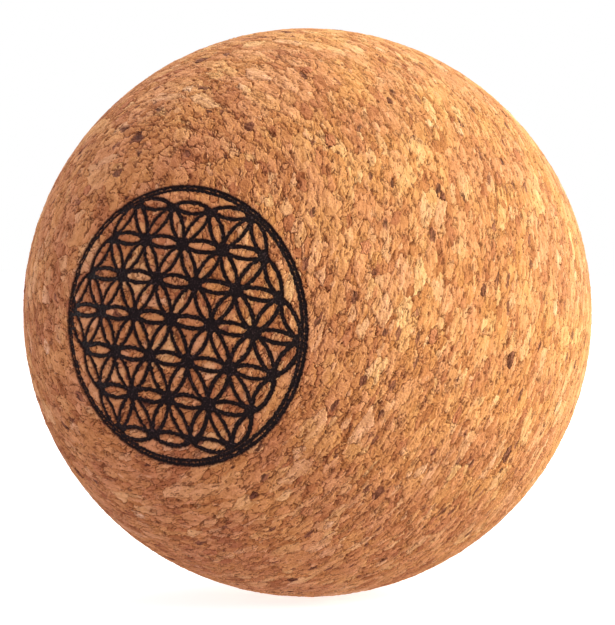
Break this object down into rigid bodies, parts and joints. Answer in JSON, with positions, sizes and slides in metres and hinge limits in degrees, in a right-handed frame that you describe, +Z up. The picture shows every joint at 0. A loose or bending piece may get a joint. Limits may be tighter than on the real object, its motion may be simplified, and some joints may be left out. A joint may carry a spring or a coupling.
{
  "type": "massage ball",
  "caption": "Turned ball of pressed cork granules with a laser-burnt rosette of overlapping circles inside a double ring.",
  "frame": {"origin": "centre of the ball", "axes": "+Z up, -Y through the middle of the burnt rosette, +X to the right of a viewer who faces the rosette"},
  "size_m": [0.1, 0.1, 0.1],
  "materials": {
    "cork": "matte",
    "bark": "matte",
    "pale_cork": "matte",
    "reddish_cork": "matte",
    "char": "matte"
  },
  "bodies": {
    "root": {"cork_body": "cork", "bark_chips": "bark", "pale_granules": "pale_cork", "reddish_granules": "reddish_cork", "char_rosette": "char", "char_inner_ring": "char", "char_outer_ring": "char"}
  },
  "joints": []
}
